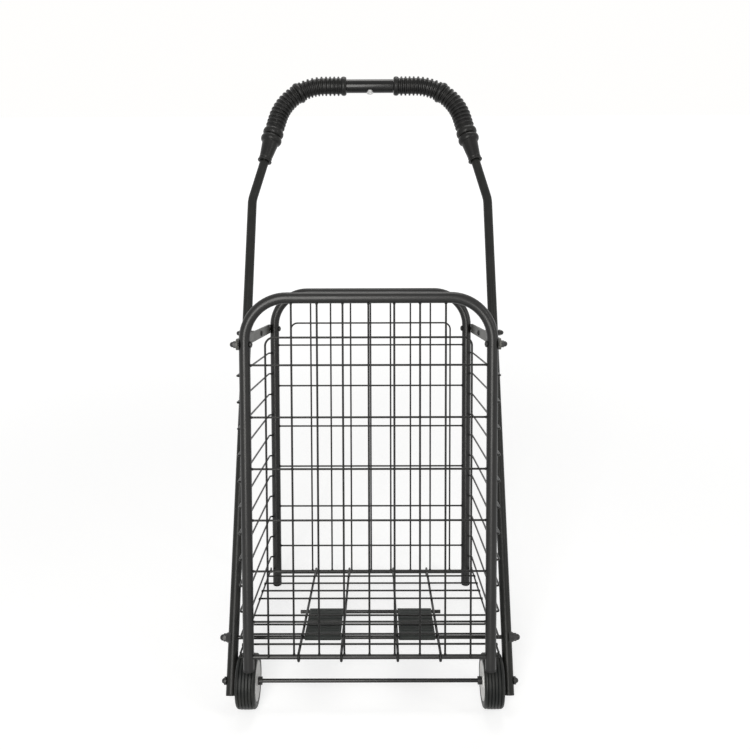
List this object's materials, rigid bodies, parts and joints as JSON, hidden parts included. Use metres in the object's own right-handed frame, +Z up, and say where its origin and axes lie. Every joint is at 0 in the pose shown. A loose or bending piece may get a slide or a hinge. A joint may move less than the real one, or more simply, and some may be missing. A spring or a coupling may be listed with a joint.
{
  "type": "folding shopping trolley",
  "caption": "Two-wheeled folding shopping trolley with a wire basket between two tube frames and a leaning push handle with ribbed grips.",
  "frame": {"origin": "centre of the footprint's box on the ground, with the trolley standing on its wheels and rear feet", "axes": "+Z up, +X to the right seen from the wheel side, +Y from the wheels towards the user"},
  "size_m": [0.4596, 0.632, 0.9056],
  "materials": {
    "frame_paint": "gloss",
    "wire_paint": "satin",
    "rod_paint": "satin",
    "handle_paint": "matte",
    "strap_paint": "satin",
    "dark_steel": "satin",
    "screw_steel": "satin",
    "grip_plastic": "matte",
    "sleeve_gloss": "gloss",
    "cap_plastic": "matte",
    "plate_plastic": "matte",
    "tyre_rubber": "matte",
    "hub_plastic": "satin"
  },
  "bodies": {
    "front_frame": {"front_frame_tube": "frame_paint", "front_rail": "frame_paint", "front_uprights": "wire_paint", "front_hoop_wire": "wire_paint", "front_cross_wires": "wire_paint", "front_leg_caps": "cap_plastic", "front_strap_bolts": "dark_steel", "front_strap_nuts": "dark_steel"},
    "straps": {"top_straps": "strap_paint", "handle_pivot_bolts": "dark_steel", "handle_pivot_nuts": "dark_steel", "handle_pivot_spacers": "dark_steel"},
    "rear_frame": {"rear_frame_tube": "frame_paint", "rear_rail": "frame_paint", "rear_uprights": "wire_paint", "rear_hoop_wire": "wire_paint", "rear_cross_wires": "wire_paint", "rear_feet": "cap_plastic", "rear_strap_bolts": "dark_steel", "rear_strap_nuts": "dark_steel"},
    "side_level_01": {"side_wires_01": "wire_paint"},
    "side_level_02": {"side_wires_02": "wire_paint"},
    "side_level_03": {"side_wires_03": "wire_paint"},
    "side_level_04": {"side_wires_04": "wire_paint"},
    "side_level_05": {"side_wires_05": "wire_paint"},
    "side_level_06": {"side_wires_06": "wire_paint"},
    "side_level_07": {"side_wires_07": "wire_paint"},
    "side_level_08": {"side_wires_08": "wire_paint"},
    "side_level_09": {"side_wires_09": "wire_paint"},
    "side_level_10": {"side_wires_10": "wire_paint"},
    "side_level_11": {"side_wires_11": "wire_paint"},
    "floor_mat": {"floor_long_wires": "wire_paint", "floor_cross_wires": "wire_paint", "floor_edge_wires": "wire_paint", "floor_center_rod": "wire_paint"},
    "link_plates": {"floor_link_plates": "plate_plastic"},
    "wheel_left": {"wheel_left_tyre": "tyre_rubber", "wheel_left_hub": "hub_plastic"},
    "wheel_right": {"wheel_right_tyre": "tyre_rubber", "wheel_right_hub": "hub_plastic"},
    "handle": {"handle_tube_left": "handle_paint", "handle_tube_right": "handle_paint", "handle_joiner": "dark_steel", "handle_sleeve": "sleeve_gloss", "handle_screw": "screw_steel", "grip_left": "grip_plastic", "grip_right": "grip_plastic", "handle_tube_caps": "cap_plastic", "pivot_rod": "rod_paint", "pivot_saddles": "dark_steel", "pivot_rod_nuts": "dark_steel", "axle_rod": "rod_paint", "axle_end_caps": "dark_steel", "axle_collars": "dark_steel"}
  },
  "joints": [
    {"name": "basket_fold", "type": "hinge", "parent": "front_frame", "child": "straps", "pos_m": [0, -0.19281, 0.5496], "axis": [-1, 0, 0], "range_deg": [0, 65]},
    {"name": "side_turn_01", "type": "hinge", "parent": "front_frame", "child": "side_level_01", "pos_m": [0, -0.2037, 0.50594], "axis": [-1, 0, 0], "range_deg": [0, 65]},
    {"name": "side_turn_02", "type": "hinge", "parent": "front_frame", "child": "side_level_02", "pos_m": [0, -0.21294, 0.46887], "axis": [-1, 0, 0], "range_deg": [0, 65]},
    {"name": "side_turn_03", "type": "hinge", "parent": "front_frame", "child": "side_level_03", "pos_m": [0, -0.22218, 0.4318], "axis": [-1, 0, 0], "range_deg": [0, 65]},
    {"name": "side_turn_04", "type": "hinge", "parent": "front_frame", "child": "side_level_04", "pos_m": [0, -0.23142, 0.39474], "axis": [-1, 0, 0], "range_deg": [0, 65]},
    {"name": "side_turn_05", "type": "hinge", "parent": "front_frame", "child": "side_level_05", "pos_m": [0, -0.24066, 0.35767], "axis": [-1, 0, 0], "range_deg": [0, 65]},
    {"name": "side_turn_06", "type": "hinge", "parent": "front_frame", "child": "side_level_06", "pos_m": [0, -0.24991, 0.32061], "axis": [-1, 0, 0], "range_deg": [0, 65]},
    {"name": "side_turn_07", "type": "hinge", "parent": "front_frame", "child": "side_level_07", "pos_m": [0, -0.25915, 0.28354], "axis": [-1, 0, 0], "range_deg": [0, 65]},
    {"name": "side_turn_08", "type": "hinge", "parent": "front_frame", "child": "side_level_08", "pos_m": [0, -0.26839, 0.24648], "axis": [-1, 0, 0], "range_deg": [0, 65]},
    {"name": "side_turn_09", "type": "hinge", "parent": "front_frame", "child": "side_level_09", "pos_m": [0, -0.27763, 0.20941], "axis": [-1, 0, 0], "range_deg": [0, 65]},
    {"name": "side_turn_10", "type": "hinge", "parent": "front_frame", "child": "side_level_10", "pos_m": [0, -0.28687, 0.17235], "axis": [-1, 0, 0], "range_deg": [0, 65]},
    {"name": "side_turn_11", "type": "hinge", "parent": "front_frame", "child": "side_level_11", "pos_m": [0, -0.29611, 0.13528], "axis": [-1, 0, 0], "range_deg": [0, 65]},
    {"name": "floor_turn", "type": "hinge", "parent": "front_frame", "child": "floor_mat", "pos_m": [0, -0.30313, 0.10714], "axis": [-1, 0, 0], "range_deg": [0, 65]},
    {"name": "rear_frame_turn", "type": "hinge", "parent": "straps", "child": "rear_frame", "pos_m": [0, 0.14679, 0.46493], "axis": [-1, 0, 0], "range_deg": [-65, 0]},
    {"name": "handle_turn", "type": "hinge", "parent": "straps", "child": "handle", "pos_m": [0, 0.0323, 0.49347], "axis": [-1, 0, 0], "range_deg": [-77.2, 0]},
    {"name": "plate_turn", "type": "hinge", "parent": "floor_mat", "child": "link_plates", "pos_m": [0, -0.14581, 0.06848], "axis": [-1, 0, 0], "range_deg": [-131.8, 0]},
    {"name": "wheel_left_spin", "type": "hinge", "parent": "handle", "child": "wheel_left", "pos_m": [-0.184, -0.27358, 0.04], "axis": [1, 0, 0], "continuous": true},
    {"name": "wheel_right_spin", "type": "hinge", "parent": "handle", "child": "wheel_right", "pos_m": [0.184, -0.27358, 0.04], "axis": [1, 0, 0], "continuous": true}
  ],
  "couplings": [
    {"joint": "side_turn_01", "follows": "basket_fold", "ratio": 1},
    {"joint": "side_turn_02", "follows": "basket_fold", "ratio": 1},
    {"joint": "side_turn_03", "follows": "basket_fold", "ratio": 1},
    {"joint": "side_turn_04", "follows": "basket_fold", "ratio": 1},
    {"joint": "side_turn_05", "follows": "basket_fold", "ratio": 1},
    {"joint": "side_turn_06", "follows": "basket_fold", "ratio": 1},
    {"joint": "side_turn_07", "follows": "basket_fold", "ratio": 1},
    {"joint": "side_turn_08", "follows": "basket_fold", "ratio": 1},
    {"joint": "side_turn_09", "follows": "basket_fold", "ratio": 1},
    {"joint": "side_turn_10", "follows": "basket_fold", "ratio": 1},
    {"joint": "side_turn_11", "follows": "basket_fold", "ratio": 1},
    {"joint": "floor_turn", "follows": "basket_fold", "ratio": 1},
    {"joint": "rear_frame_turn", "follows": "basket_fold", "ratio": -1},
    {"joint": "handle_turn", "follows": "basket_fold", "ratio": -1.1866},
    {"joint": "plate_turn", "follows": "basket_fold", "ratio": -2.0266}
  ]
}
